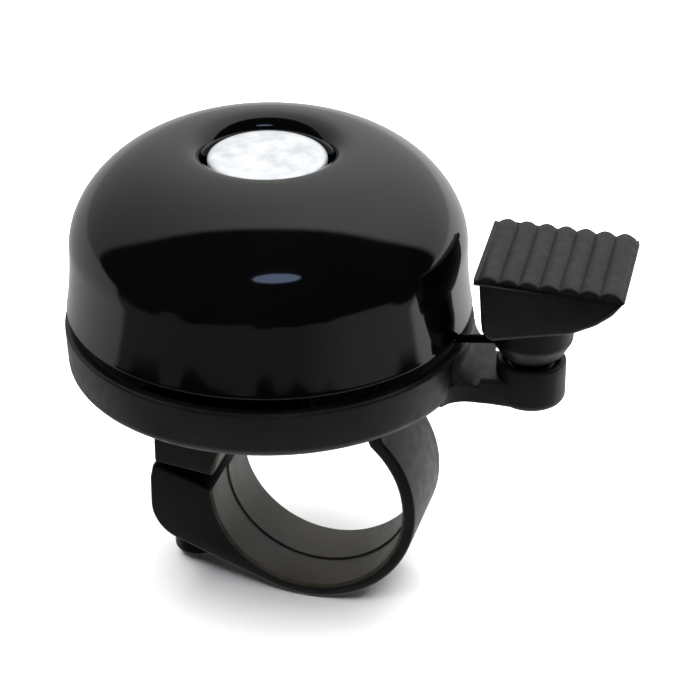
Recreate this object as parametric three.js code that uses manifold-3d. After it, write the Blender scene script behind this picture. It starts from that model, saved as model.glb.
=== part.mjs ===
// Bicycle bell with a thumb lever, on a split clamp for a 22.2 mm handlebar.
//
// Frame: millimetres. The origin is the centre of the clamp's bore, on the handlebar's axis.
// +X points towards the thumb lever, +Y runs along the handlebar, +Z points up to the gong.
//
// Five bodies move: the base with everything tight on it, the thumb lever, the striker on its
// wire, the lower strap of the clamp, and the clamp screw.

import * as THREE from "three";
import { mergeVertices } from "three/addons/utils/BufferGeometryUtils.js";
import Module from "manifold-3d";

const wasm = await Module();
wasm.setup();

// ---------------------------------------------------------------- driving dimensions (mm)

const GAP = 0.3; // between pieces that would touch
const RUNNING = 0.15; // round a pin that turns

const CLAMP = {
  bore: 11.45, // radius of the front half of the bore
  land: 11.25, // radius of the rear half, which grips the bar
  landFrom: -0.6, // the parting step along Y
  outer: 13.0,
  front: -6.4,
  rear: 6.0,
};
const LUG = {
  left: -18.5, // upper lug's outer face
  strapLeft: -19.15, // lower lug's outer face
  corner: 4.8, // rounding of the lower lug's outer corner
  slope: 21.0, // degrees that the lower lug's underside falls towards the ring
  inner: -11.0, // where the lugs' facing sides end over the bore
  footOuter: 2.5, // upper lug's underside at its outer face
  footInner: 1.5, // and at the bore
  topOuter: 2.2, // lower lug's upper side at its outer face
  topInner: -0.3, // and at the bore
  foot: -9.6, // flat of the boss that the screw's head bears on
  boss: 3.3,
};
const HOOK = { x: 7.0, z: 12.12, bead: 1.3, socket: 1.6, wall: 2.7, mouthAngle: -63, mouthHalf: 48 };
const SADDLE = { top: 14.9, right: 9.7, pocket: 3.9, pocketTop: 12.55 };
const CLAMP_SCREW = { x: -15.4, r: 1.5, head: 2.9, headHeight: 1.85, tip: 9.0, recess: 1.1 };
const CLAMP_SLOT = { play: 0.2, right: 0.35, leftTop: 0.85, leftFoot: 1.4 }; // room beside the screw in the strap
const CLAMP_WASHER = { r: 3.1, thickness: 0.5, play: 0.05 };
const NUT = { side: 4.6, from: 3.0, height: 2.4, clearance: 0.15 };

const DOME = { x: -6.0, lip: 22.6 }; // the gong's axis and the height of its lip
const GONG = {
  lipRadius: 23.2,
  wallRadius: 22.56,
  wallHeight: 7.7, // where the wall turns into the shoulder
  crownRadius: 9.8,
  crownHeight: 19.45,
  shoulder: [5.15, 7.1, 0.7], // how far the shoulder's curve keeps its direction at each end
  thickness: 1.2,
  recess: 7.1, // radius of the recess in the crown
  recessEdge: 2.3, // rounding of the recess's rim
  floor: 14.35, // height of the recess's floor above the lip
};
const BASE = {
  bottom: 15.2,
  rimTop: 21.0,
  rimRadius: 23.5,
  rimInner: 22.1,
  edge: 1.4, // rounding of the lower edge
  floor: 2.0,
};
const BASE_RIB = { angles: [60, 120, 180, 240, 300], from: 6.9, to: 21.5, half: 0.6, rise: 1.7 };
const BASE_SCREW = { r: 2.0, head: 3.1, headFrom: 10.95, headTo: 11.95, tip: 23.5, recess: 0.7 };
const BASE_WASHER = { inner: 2.15, r: 3.6, from: 12.0, to: 12.5 };
const PIVOT = { x: 24.7 };
const BOSS = { r: 3.95, top: 19.7, bottom: 14.35, pocket: 3.3, pocketFloor: 17.2 };
const BOSS_BORE = { r: 2.75, webFrom: 16.6 }; // for the pivot screw's head, up to the web
const ARM = { top: 17.9, bottom: 14.65, half: 3.6, sweep: 5.0, from: 14.0, rampLength: 2.2, rampHalf: 5.2 };
const PIVOT_SCREW = { r: 1.25, head: 2.2, headFrom: 15.0, headTo: 16.2, tip: 25.5, recess: 0.7 };
const PIVOT_WASHER = { inner: 1.35, r: 2.5, from: 16.23, to: 16.55 };
const SPRING = { mean: 2.55, turns: 3.5, pitch: 0.52, wire: 0.2, leg: 1.2, seat: 0.4 };
const BARREL = { r: 4.65, from: 22.3, foot: 3.45, bottom: 20.2, top: 26.4, groove: [2.15, 2.95, 21.15] };
const SPINDLE = { r: 1.75, bottom: 16.6, screwHole: 1.35 };
const PAD = {
  left: 19.0,
  right: 35.5,
  top: 32.25, // at the middle; the top falls a little towards the outer end
  fall: 0.04,
  half: 7.0,
  lip: 0.5,
  lipDepth: 0.8,
  turn: 3.5, // degrees that the pad stands turned on the barrel at rest
};
const RIB = { count: 7, height: 0.5 };
const STRIKER = { angle: 13, length: 19.0, wire: 0.5, height: 21.8, from: 1.9, past: 2.0 };
const HAMMER = { r: 3.0, bottom: 20.7, top: 26.2 };
const POST = { r: 3.5, flange: 5.2, flangeHeight: 1.2, below: 0.7 };
const POST_BORE = { r: 2.1, lowerDepth: 7.0, upperDepth: 8.0 };
const FIBRE = { inner: 2.3, lower: 5.5, upper: 5.6, upperThickness: 0.55, play: 0.05 };
// The lock ring's heights and the gong screw's are above the recess's floor.
const LOCK_RING = { inner: 2.2, r: 3.6, from: 0.65, to: 1.35, split: 0.3 };
const GONG_SCREW = { r: 2.0, head: 4.0, from: 1.4, height: 1.3, reach: 6.5, recess: 0.8 };
const CAP = { height: 18.6, r: 6.75, foot: 6.6, inner: 5.9, skirt: 0.05 };
const CROSS = { half: 0.3, share: 0.55 }; // a screw's cross: half width, and reach as a share of the head

// ------------------------------------------------------------------------------ materials

function material(color, roughness, metalness) {
  return new THREE.MeshStandardMaterial({ color, roughness, metalness });
}

const FINISH = {
  enamel: material(0x0a0a0b, 0.08, 0.0),
  nylon: material(0x1b1b1d, 0.5, 0.0),
  aluminium: material(0xdfe1e3, 0.25, 1.0),
  zinc: material(0xb7bac0, 0.35, 1.0),
  blackSteel: material(0x2a2a2c, 0.4, 1.0),
  springSteel: material(0x6f7277, 0.3, 1.0),
  brass: material(0xb99548, 0.3, 1.0),
  fibre: material(0x8d4a35, 0.85, 0.0),
};

// --------------------------------------------------------------------------- solid helpers

function solidOf(geometry) {
  const bare = geometry.index ? geometry.toNonIndexed() : geometry.clone();
  bare.deleteAttribute("normal");
  bare.deleteAttribute("uv");
  const merged = mergeVertices(bare, 1e-4);
  const mesh = new wasm.Mesh({
    numProp: 3,
    vertProperties: new Float32Array(merged.attributes.position.array),
    triVerts: new Uint32Array(merged.index.array),
  });
  return new wasm.Manifold(mesh);
}

function geometryOf(solid) {
  const mesh = solid.getMesh();
  const geometry = new THREE.BufferGeometry();
  geometry.setAttribute("position", new THREE.BufferAttribute(mesh.vertProperties, 3));
  geometry.setIndex(new THREE.BufferAttribute(mesh.triVerts, 1));
  return geometry;
}

function join(first, ...others) {
  return others.reduce((sum, solid) => sum.add(solid), first);
}

function cut(first, ...others) {
  return others.reduce((rest, solid) => rest.subtract(solid), first);
}

// A body of revolution about the vertical line through (x, y). profile is [radius, z] points.
function turned(profile, x, y, segments = 32) {
  const points = profile.map(([r, z]) => new THREE.Vector2(r, z));
  const geometry = new THREE.LatheGeometry(points, segments);
  geometry.rotateX(Math.PI / 2);
  geometry.translate(x, y, 0);
  return solidOf(geometry);
}

function discZ(r, from, to, x, y, segments = 32) {
  const geometry = new THREE.CylinderGeometry(r, r, to - from, segments);
  geometry.rotateX(Math.PI / 2);
  geometry.translate(x, y, (from + to) / 2);
  return solidOf(geometry);
}

function discY(r, from, to, x, z, segments = 32) {
  const geometry = new THREE.CylinderGeometry(r, r, to - from, segments);
  geometry.translate(x, (from + to) / 2, z);
  return solidOf(geometry);
}

function block([x0, y0, z0], [x1, y1, z1]) {
  const geometry = new THREE.BoxGeometry(x1 - x0, y1 - y0, z1 - z0);
  geometry.translate((x0 + x1) / 2, (y0 + y1) / 2, (z0 + z1) / 2);
  return solidOf(geometry);
}

// An outline in the XZ plane, extruded along Y.
function slabY(outline, from, to) {
  const shape = new THREE.Shape(outline.map(([x, z]) => new THREE.Vector2(x, z)));
  const geometry = new THREE.ExtrudeGeometry(shape, { depth: to - from, bevelEnabled: false });
  geometry.rotateX(Math.PI / 2);
  geometry.translate(0, to, 0);
  return solidOf(geometry);
}

// An outline in the XY plane, extruded along Z.
function slabZ(outline, from, to) {
  const shape = new THREE.Shape(outline.map(([x, y]) => new THREE.Vector2(x, y)));
  const geometry = new THREE.ExtrudeGeometry(shape, { depth: to - from, bevelEnabled: false });
  geometry.translate(0, 0, from);
  return solidOf(geometry);
}

function arc(cx, cy, r, fromDeg, toDeg, steps) {
  return Array.from({ length: steps + 1 }, (_, i) => {
    const a = THREE.MathUtils.degToRad(fromDeg + ((toDeg - fromDeg) * i) / steps);
    return [cx + r * Math.cos(a), cy + r * Math.sin(a)];
  });
}

function ring(inner, outer, from, to, x, y, segments = 32) {
  return turned([[inner, from], [outer, from], [outer, to], [inner, to], [inner, from]], x, y, segments);
}

// A pan-headed screw on a vertical line: the head at the end that headSide names.
function panScrew({ x, y, r, headR, headFrom, headTo, tip, recess }) {
  const up = tip > headFrom;
  const outer = up ? headFrom : headTo;
  const inner = up ? headTo : headFrom;
  const round = up ? 0.35 : -0.35;
  const profile = [
    [0, outer],
    [headR - 0.5, outer],
    [headR, outer + round],
    [headR, inner],
    [r, inner],
    [r, tip - round],
    [r - 0.3, tip],
    [0, tip],
  ];
  const body = turned(up ? profile : profile.reverse(), x, y, 24);
  const depth = up ? [outer - 1, outer + recess] : [outer - recess, outer + 1];
  const reach = headR * CROSS.share;
  const slot = (dx, dy) => block([x - dx, y - dy, depth[0]], [x + dx, y + dy, depth[1]]);
  return cut(body, join(slot(reach, CROSS.half), slot(CROSS.half, reach)));
}

const group = new THREE.Group();

function place(name, solid, finish) {
  const mesh = new THREE.Mesh(geometryOf(solid), FINISH[finish]);
  mesh.name = name;
  group.add(mesh);
}

// ------------------------------------------------------------------------- handlebar clamp

// The bore: a wider front half and a rear land, with a parting step between them.
function boreCut() {
  const { bore, land, landFrom, front, rear } = CLAMP;
  return join(
    discY(bore, front - 1, landFrom, 0, 0, 72),
    discY(land, landFrom - 0.1, rear + 1, 0, 0, 72),
  );
}

function clampSaddle() {
  const { front, rear } = CLAMP;
  const lugFoot = LUG.footInner;
  const saddle = slabY(
    [
      [LUG.left, LUG.footOuter],
      [LUG.inner - 0.5, lugFoot + 0.08],
      [LUG.inner, lugFoot],
      [HOOK.x, lugFoot],
      [HOOK.x, SADDLE.top],
      [LUG.left, SADDLE.top],
    ],
    front,
    rear,
  );
  const body = join(
    saddle,
    block([HOOK.x - 1, front, HOOK.z], [SADDLE.right, rear, SADDLE.top]),
    discY(HOOK.wall, front, rear, HOOK.x, HOOK.z, 40),
  );
  const mouth = slabY(
    [[HOOK.x, HOOK.z], ...arc(HOOK.x, HOOK.z, 9, HOOK.mouthAngle - HOOK.mouthHalf, HOOK.mouthAngle + HOOK.mouthHalf, 4)],
    front - 1,
    rear + 1,
  );
  const half = NUT.side / 2 + NUT.clearance;
  const nutPocket = block(
    [CLAMP_SCREW.x - half, -half, lugFoot - 1],
    [CLAMP_SCREW.x + half, half, NUT.from + NUT.height + GAP],
  );
  return cut(
    body,
    boreCut(),
    discY(HOOK.socket, front - 1, rear + 1, HOOK.x, HOOK.z, 40),
    mouth,
    nutPocket,
    discZ(CLAMP_SCREW.r + GAP, lugFoot - 1, CLAMP_SCREW.tip + 2.5, CLAMP_SCREW.x, 0, 24),
    discZ(BASE_SCREW.r + RUNNING, 5, SADDLE.top + 1, DOME.x, 0, 24),
    discZ(SADDLE.pocket, 5, SADDLE.pocketTop, DOME.x, 0, 32),
  );
}

function clampStrap() {
  const { front, rear } = CLAMP;
  const { strapLeft, topOuter, topInner, foot, corner, slope } = LUG;
  const ringSector = slabY(
    [[0, 0], ...arc(0, 0, CLAMP.outer, 42, -114, 52)],
    front,
    rear,
  );
  // The underside is one straight line from the rounded corner to where it touches the ring.
  const fall = THREE.MathUtils.degToRad(slope);
  const touch = [-CLAMP.outer * Math.sin(fall), -CLAMP.outer * Math.cos(fall)];
  const cornerX = strapLeft + corner;
  const cornerZ = touch[1] + ((touch[0] - cornerX) * Math.sin(fall) + corner) / Math.cos(fall);
  const lug = slabY(
    [
      [0, 0],
      [0, -12.5],
      touch,
      ...arc(cornerX, cornerZ, corner, 270 - slope, 180, 8),
      [strapLeft, 0.2],
      [LUG.left - 0.35, topOuter - 0.15],
      [LUG.left - 0.1, topOuter],
      [LUG.inner, topInner],
      [-8.0, topInner],
    ],
    front,
    rear,
  );
  const boss = discZ(LUG.boss, foot, topInner - 2, CLAMP_SCREW.x, 0, 32);
  const neck = slabY(
    [
      [HOOK.x - 0.7, HOOK.z - 0.35],
      [HOOK.x + 0.7, HOOK.z + 0.35],
      ...arc(0, 0, CLAMP.outer, 45, 38, 3),
      ...arc(0, 0, CLAMP.land, 38, 45, 2),
    ].reverse(),
    front,
    rear,
  );
  const bead = discY(HOOK.bead, front, rear, HOOK.x, HOOK.z, 32);
  // The screw's slot leans, because the lug swings to the right as the strap opens.
  const slotLeft = CLAMP_SCREW.x - CLAMP_SCREW.r;
  const slotRight = CLAMP_SCREW.x + CLAMP_SCREW.r + CLAMP_SLOT.right;
  const halfSlot = CLAMP_SCREW.r + CLAMP_SLOT.play;
  const slot = slabY(
    [
      [slotLeft - CLAMP_SLOT.leftTop, topOuter + 1],
      [slotLeft - CLAMP_SLOT.leftFoot, foot - 1],
      [slotRight, foot - 1],
      [slotRight, topOuter + 1],
    ],
    -halfSlot,
    halfSlot,
  );
  return cut(join(ringSector, lug, boss, neck, bead), boreCut(), slot);
}

function clampFasteners() {
  const { x, r, head, headHeight, tip, recess } = CLAMP_SCREW;
  const bearing = LUG.foot - GAP;
  const washerFrom = bearing - CLAMP_WASHER.thickness;
  place("clamp_washer", ring(r + 0.1, CLAMP_WASHER.r, washerFrom, bearing, x, 0), "blackSteel");
  const headTo = washerFrom - CLAMP_WASHER.play;
  const screw = panScrew({ x, y: 0, r, headR: head, headFrom: headTo - headHeight, headTo, tip, recess });
  place("clamp_screw", screw, "blackSteel");
  const half = NUT.side / 2;
  const nut = cut(
    block([x - half, -half, NUT.from], [x + half, half, NUT.from + NUT.height]),
    discZ(r + 0.1, NUT.from - 1, NUT.from + NUT.height + 1, x, 0, 32),
  );
  place("clamp_nut", nut, "zinc");
}

// ------------------------------------------------------------------------------------ base

// Concave sweeps lead the dish into the arm, which ends at the lever's boss.
function armOutline() {
  const { half, sweep, from } = ARM;
  const rim = BASE.rimRadius - 0.3;
  const cy = half + sweep;
  const reach = Math.sqrt((rim + sweep) ** 2 - cy ** 2);
  const tangent = THREE.MathUtils.radToDeg(Math.atan2(cy, reach));
  const near = arc(DOME.x + reach, -cy, sweep, 180 - tangent, 90, 8);
  const far = near.map(([x, y]) => [x, -y]).reverse();
  const root = DOME.x + from;
  const end = PIVOT.x + 0.5;
  return [[root, -half], ...near, [end, -half], [end, half], ...far, [root, half]];
}

function basePlate() {
  const { bottom, rimTop, rimRadius, rimInner, edge, floor } = BASE;
  const dish = turned(
    [
      [0, bottom],
      ...arc(rimRadius - 0.3 - edge, bottom + edge, edge, -90, -8, 4),
      ...arc(rimRadius - 0.5, rimTop - 0.5, 0.5, 0, 90, 3),
      ...arc(rimInner + 0.35, rimTop - 0.35, 0.35, 90, 180, 2),
      [rimInner, bottom + floor + 1.2],
      [rimInner - 1.2, bottom + floor],
      [0, bottom + floor],
    ],
    DOME.x,
    0,
    64,
  );
  // The arm hangs below the dish only past the flat of the underside.
  const flat = rimRadius - 0.3 - edge;
  const keepFlat = discZ(flat + 0.5, ARM.bottom - 1, bottom, DOME.x, 0, 64);
  const arm = cut(slabZ(armOutline(), ARM.bottom, ARM.top), keepFlat);
  // A concave ramp leads the rim's top down to the arm's top.
  const rampFoot = DOME.x + rimRadius + ARM.rampLength;
  const ramp = slabY(
    [
      [DOME.x + rimInner + 0.6, ARM.top - 0.5],
      [rampFoot, ARM.top - 0.5],
      ...arc(rampFoot, rimTop - 0.4, rimTop - 0.4 - ARM.top, -90, -180, 6),
      [DOME.x + rimInner + 0.6, rimTop - 0.4],
    ],
    -ARM.rampHalf,
    ARM.rampHalf,
  );
  const boss = turned(
    [
      [0, BOSS.bottom],
      ...arc(BOSS.r - 1.0, BOSS.bottom + 1.0, 1.0, -90, 0, 4),
      ...arc(BOSS.r - 0.3, BOSS.top - 0.3, 0.3, 0, 90, 2),
      [0, BOSS.top],
    ],
    PIVOT.x,
    0,
    40,
  );
  const pivotBore = join(
    discZ(BOSS_BORE.r, BOSS.bottom - 1, BOSS_BORE.webFrom, PIVOT.x, 0),
    discZ(SPINDLE.r + RUNNING, BOSS.bottom - 1, BOSS.top + 1, PIVOT.x, 0),
    discZ(BOSS.pocket, BOSS.pocketFloor, BOSS.top + 1, PIVOT.x, 0),
  );
  const ribTop = bottom + floor + BASE_RIB.rise;
  const rib = block([BASE_RIB.from, -BASE_RIB.half, ribTop - 2], [BASE_RIB.to, BASE_RIB.half, ribTop]);
  const ribs = BASE_RIB.angles.map((deg) => rib.rotate([0, 0, deg]).translate([DOME.x, 0, 0]));
  const screwBore = discZ(BASE_SCREW.r + RUNNING, bottom - 1, rimTop, DOME.x, 0, 24);
  return cut(join(dish, arm, ramp, boss, ...ribs), pivotBore, screwBore);
}

// ------------------------------------------------------------------- post, gong and its top

function gongProfile() {
  const { lipRadius, wallRadius, wallHeight, crownRadius, crownHeight, shoulder, thickness } = GONG;
  const { recess, recessEdge, floor } = GONG;
  const [rise, run, drop] = shoulder;
  const curve = new THREE.CubicBezierCurve(
    new THREE.Vector2(wallRadius, wallHeight),
    new THREE.Vector2(wallRadius, wallHeight + rise),
    new THREE.Vector2(crownRadius + run, crownHeight - drop),
    new THREE.Vector2(crownRadius, crownHeight),
  );
  const steps = 9;
  const outer = curve.getPoints(steps);
  const inner = outer.map((p, i) => {
    const tangent = curve.getTangent(i / steps);
    return new THREE.Vector2(p.x - tangent.y * thickness, p.y + tangent.x * thickness);
  });
  const points = [
    [3.0, floor],
    [3.0, floor - thickness],
    [recess + thickness - 0.3, floor - thickness],
    [recess + thickness, crownHeight - recessEdge - thickness],
    ...inner.reverse().filter((p, i) => i % 2 === 0).map((p) => [p.x, p.y]),
    [wallRadius - thickness, wallHeight - 1],
    [lipRadius - thickness, 0.15],
    [lipRadius - thickness + 0.3, 0],
    [lipRadius - 0.25, 0],
    [lipRadius, 0.3],
    ...outer.map((p) => [p.x, p.y]),
    ...arc(recess + recessEdge, crownHeight - recessEdge, recessEdge, 90, 180, 6),
    [recess, floor + 0.1],
    [recess - 0.1, floor],
    [3.0, floor],
  ];
  return points.map(([r, h]) => [r, h + DOME.lip]);
}

function gongAndTop() {
  const x = DOME.x;
  const base = BASE.bottom + BASE.floor;
  const floor = DOME.lip + GONG.floor;
  const under = floor - GONG.thickness;
  const postTop = under - POST.below;
  const post = turned(
    [
      [0, base + 0.02],
      [POST.flange, base + 0.02],
      [POST.flange, base + POST.flangeHeight],
      [POST.r, base + POST.flangeHeight + 0.6],
      [POST.r, postTop - 0.3],
      [POST.r - 0.3, postTop],
      [0, postTop],
    ],
    x,
    0,
    36,
  );
  const lowerBore = discZ(POST_BORE.r, base - 1, base + POST_BORE.lowerDepth, x, 0, 24);
  const upperBore = discZ(POST_BORE.r, postTop - POST_BORE.upperDepth, postTop + 1, x, 0, 24);
  place("gong_post", cut(post, lowerBore, upperBore), "zinc");
  const { inner, lower, upper, upperThickness, play } = FIBRE;
  place("gong_washer_lower", ring(inner, lower, postTop + play, under - play, x, 0), "fibre");
  place("gong", turned(gongProfile(), x, 0, 64), "enamel");
  const seat = floor + play;
  place("gong_washer_upper", ring(inner, upper, seat, seat + upperThickness, x, 0), "fibre");
  const { from, to, split } = LOCK_RING;
  const lockRing = ring(LOCK_RING.inner, LOCK_RING.r, floor + from, floor + to, x, 0, 32);
  const opening = block([x, -split, floor], [x + 5, split, floor + 2]);
  place("gong_lock_washer", cut(lockRing, opening), "springSteel");
  const { r, head, height, reach, recess } = GONG_SCREW;
  const headFrom = floor + GONG_SCREW.from;
  const screw = { x, y: 0, r, headR: head, headFrom, headTo: headFrom + height, tip: postTop - reach, recess };
  place("gong_screw", panScrew(screw), "zinc");
  // The cap is a shallow domed cup whose skirt stands on the recess's floor.
  const capTop = DOME.lip + CAP.height;
  const capFoot = floor + CAP.skirt;
  const cap = turned(
    [
      [0, capTop - 0.55],
      [CAP.inner, capTop - 0.85],
      [CAP.inner, capFoot],
      [CAP.foot, capFoot],
      [CAP.r, capTop - 0.65],
      [CAP.r - 0.3, capTop - 0.35],
      [3.4, capTop - 0.1],
      [0, capTop],
    ],
    x,
    0,
    48,
  );
  place("crown_cap", cap, "aluminium");
}

function baseFasteners() {
  const x = DOME.x;
  const { inner, from, to } = BASE_WASHER;
  place("base_washer", ring(inner, BASE_WASHER.r, from, to, x, 0), "zinc");
  const { r, head, headFrom, headTo, tip, recess } = BASE_SCREW;
  place("base_screw", panScrew({ x, y: 0, r, headR: head, headFrom, headTo, tip, recess }), "zinc");
}

// ---------------------------------------------------------------------- thumb lever, striker

function padTop(x) {
  return PAD.top + PAD.fall * ((PAD.left + PAD.right) / 2 - x);
}

// The pad's ribbed top edge, from the outer end to the inner one.
function ribLine() {
  const { left, right } = PAD;
  const start = left + 0.5;
  const pitch = (right - left - 1.0) / RIB.count;
  const steps = 6;
  return Array.from({ length: RIB.count * steps + 1 }, (_, i) => {
    const phase = i / steps;
    const x = start + pitch * phase;
    return [x, padTop(x) + RIB.height * Math.abs(Math.sin(Math.PI * phase))];
  }).reverse();
}

// The skirt hangs from the inner end and its underside sweeps up to the outer end.
function skirtOutline() {
  const left = PAD.left + PAD.lip;
  const right = PAD.right - 0.1;
  return [
    [left, padTop(left) - 0.1],
    [left + 0.3, 27.2],
    ...arc(left + 2.0, 26.4, 1.6, 190, 260, 4),
    [29.8, 26.6],
    [32.4, 27.9],
    [34.2, 29.3],
    [right - 0.1, 30.8],
    [right, padTop(right) - 0.1],
  ];
}

function turnedAboutPivot(solid, degrees) {
  return solid.translate([-PIVOT.x, 0, 0]).rotate([0, 0, degrees]).translate([PIVOT.x, 0, 0]);
}

function thumbLever() {
  const { left, right, half, lip, lipDepth, turn } = PAD;
  const skirt = slabY(skirtOutline(), -half, half);
  const plate = slabY(
    [
      [left, padTop(left) - lipDepth],
      [right, padTop(right) - lipDepth],
      [right, padTop(right)],
      ...ribLine(),
      [left, padTop(left)],
    ],
    -half - lip,
    half + lip,
  );
  const pad = turnedAboutPivot(join(skirt, plate), turn);
  const barrel = turned(
    [
      [0, SPINDLE.bottom],
      [SPINDLE.r, SPINDLE.bottom],
      [SPINDLE.r, BARREL.bottom],
      [BARREL.foot, BARREL.bottom],
      [BARREL.r, BARREL.from],
      [BARREL.r, BARREL.top],
      [0, BARREL.top],
    ],
    PIVOT.x,
    0,
    40,
  );
  const [grooveInner, grooveOuter, grooveTop] = BARREL.groove;
  const groove = ring(grooveInner, grooveOuter, BARREL.bottom - 1, grooveTop, PIVOT.x, 0, 32);
  const wireHole = radialRod(STRIKER.wire + 0.3, STRIKER.from - GAP, 8);
  const screwHole = discZ(SPINDLE.screwHole, SPINDLE.bottom - 1, PIVOT_SCREW.tip + 1.5, PIVOT.x, 0, 24);
  return cut(join(pad, barrel), groove, wireHole, screwHole);
}

// A round rod along the striker's direction, between two distances from the pivot's axis.
function radialRod(r, from, to) {
  const geometry = new THREE.CylinderGeometry(r, r, to - from, 16);
  geometry.rotateZ(Math.PI / 2);
  geometry.translate(-(from + to) / 2, 0, STRIKER.height);
  geometry.rotateZ(THREE.MathUtils.degToRad(STRIKER.angle));
  geometry.translate(PIVOT.x, 0, 0);
  return solidOf(geometry);
}

function pivotPieces() {
  const { x } = PIVOT;
  const { r, head, headFrom, headTo, tip, recess } = PIVOT_SCREW;
  place("pivot_screw", panScrew({ x, y: 0, r, headR: head, headFrom, headTo, tip, recess }), "zinc");
  const { inner, from, to } = PIVOT_WASHER;
  place("pivot_washer", ring(inner, PIVOT_WASHER.r, from, to, x, 0, 28), "zinc");
}

// A torsion spring: one leg down into the web of the boss, one up into the barrel's groove.
function returnSpring() {
  const { mean, turns, pitch, wire, leg, seat } = SPRING;
  const from = BOSS.pocketFloor + seat;
  class Coil extends THREE.Curve {
    getPoint(t, target = new THREE.Vector3()) {
      const lead = 0.08; // share of the curve that is the upper leg
      const along = Math.min(t / (1 - lead), 1);
      const rise = Math.max(t - (1 - lead), 0) / lead;
      const a = 2 * Math.PI * turns * along;
      const z = from + pitch * turns * along + leg * rise;
      return target.set(PIVOT.x + mean * Math.cos(a), mean * Math.sin(a), z);
    }
  }
  const section = new THREE.Shape(arc(0, 0, wire, 0, 300, 5).map(([x, y]) => new THREE.Vector2(x, y)));
  const geometry = new THREE.ExtrudeGeometry(section, { steps: 72, extrudePath: new Coil(), bevelEnabled: false });
  place("return_spring", solidOf(geometry), "springSteel");
}

function striker() {
  const angle = THREE.MathUtils.degToRad(STRIKER.angle);
  const hx = PIVOT.x - STRIKER.length * Math.cos(angle);
  const hy = -STRIKER.length * Math.sin(angle);
  place("striker_wire", radialRod(STRIKER.wire, STRIKER.from, STRIKER.length + STRIKER.past), "springSteel");
  const hammer = turned(
    [
      [0, HAMMER.bottom],
      [HAMMER.r - 0.5, HAMMER.bottom],
      [HAMMER.r, HAMMER.bottom + 0.5],
      [HAMMER.r, HAMMER.top - 0.6],
      [HAMMER.r - 0.6, HAMMER.top],
      [0, HAMMER.top],
    ],
    hx,
    hy,
    32,
  );
  place("hammer", cut(hammer, radialRod(STRIKER.wire + 0.05, STRIKER.length - 6, STRIKER.length + 2.2)), "brass");
}

// -------------------------------------------------------------------------------- assembly

place("clamp_saddle", clampSaddle(), "nylon");
place("clamp_strap", clampStrap(), "nylon");
clampFasteners();
place("base_plate", basePlate(), "nylon");
baseFasteners();
gongAndTop();
place("thumb_lever", thumbLever(), "nylon");
pivotPieces();
returnSpring();
striker();

export default group;
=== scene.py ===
"""Bicycle bell with a thumb lever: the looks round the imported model.

The bell is a black enamelled steel gong with a bright cap in its crown, on a moulded nylon base.
A ribbed thumb lever stands on a boss beside it, and a hooked strap closes round a handlebar below.
Sizes are in millimetres until a mesh is written, which is in metres. The origin is the centre of
the clamp's bore, +X points to the lever, +Y along the handlebar and +Z up.
"""

import logging
from collections.abc import Callable, Sequence
from dataclasses import dataclass
from enum import Enum
from math import acos, asin, atan2, cos, degrees, radians, sin, sqrt, tan

import bmesh
import bpy
import numpy as np
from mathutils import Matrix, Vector


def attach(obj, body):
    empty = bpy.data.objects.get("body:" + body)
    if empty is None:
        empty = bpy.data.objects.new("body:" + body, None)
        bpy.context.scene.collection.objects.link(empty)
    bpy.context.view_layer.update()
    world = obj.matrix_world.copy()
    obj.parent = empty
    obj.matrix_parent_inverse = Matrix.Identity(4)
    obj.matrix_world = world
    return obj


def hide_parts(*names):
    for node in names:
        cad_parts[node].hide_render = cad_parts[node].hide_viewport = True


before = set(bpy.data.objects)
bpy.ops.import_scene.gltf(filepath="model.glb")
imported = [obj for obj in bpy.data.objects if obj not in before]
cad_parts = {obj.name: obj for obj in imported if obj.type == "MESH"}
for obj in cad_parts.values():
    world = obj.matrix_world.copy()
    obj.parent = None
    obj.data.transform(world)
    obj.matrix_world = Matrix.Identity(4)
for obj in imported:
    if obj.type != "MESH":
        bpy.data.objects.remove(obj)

LOG = logging.getLogger("bell")
MM = 0.001
SHARP = 0.01  # edge radius of a cutter that leaves a sharp edge
Points = np.ndarray
Tree = bpy.types.NodeTree
Socket = bpy.types.NodeSocket
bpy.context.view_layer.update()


# ----------------------------------------------------------------------------- mesh makers


@dataclass
class Shell:
    """One closed surface: its points in millimetres and its faces as point numbers."""

    points: Points
    faces: list[list[int]]

    def turned(self, degree: float, x: float) -> "Shell":
        """Return the shell turned about the vertical line through (x, 0).

        Args:
            degree: angle, anticlockwise from above.
            x: where the line stands.

        Returns:
            The turned shell.
        """
        a = radians(degree)
        turn = np.array([[cos(a), sin(a), 0], [-sin(a), cos(a), 0], [0, 0, 1]])
        pivot = np.array([x, 0, 0])
        return Shell((self.points - pivot) @ turn + pivot, self.faces)


def lattice(rows: int, columns: int, wrap_rows: bool) -> list[list[int]]:
    """Return the quads of a grid whose columns close on themselves.

    Args:
        rows: number of rings.
        columns: points in a ring.
        wrap_rows: whether the last ring joins the first.

    Returns:
        Faces as lists of four point numbers.
    """
    row = np.arange(rows if wrap_rows else rows - 1)[:, None]
    column = np.arange(columns)[None, :]
    after, beside = (row + 1) % rows, (column + 1) % columns
    corners = [row * columns + column, row * columns + beside]
    corners += [after * columns + beside, after * columns + column]
    return np.stack(np.broadcast_arrays(*corners), -1).reshape(-1, 4).tolist()


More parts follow.
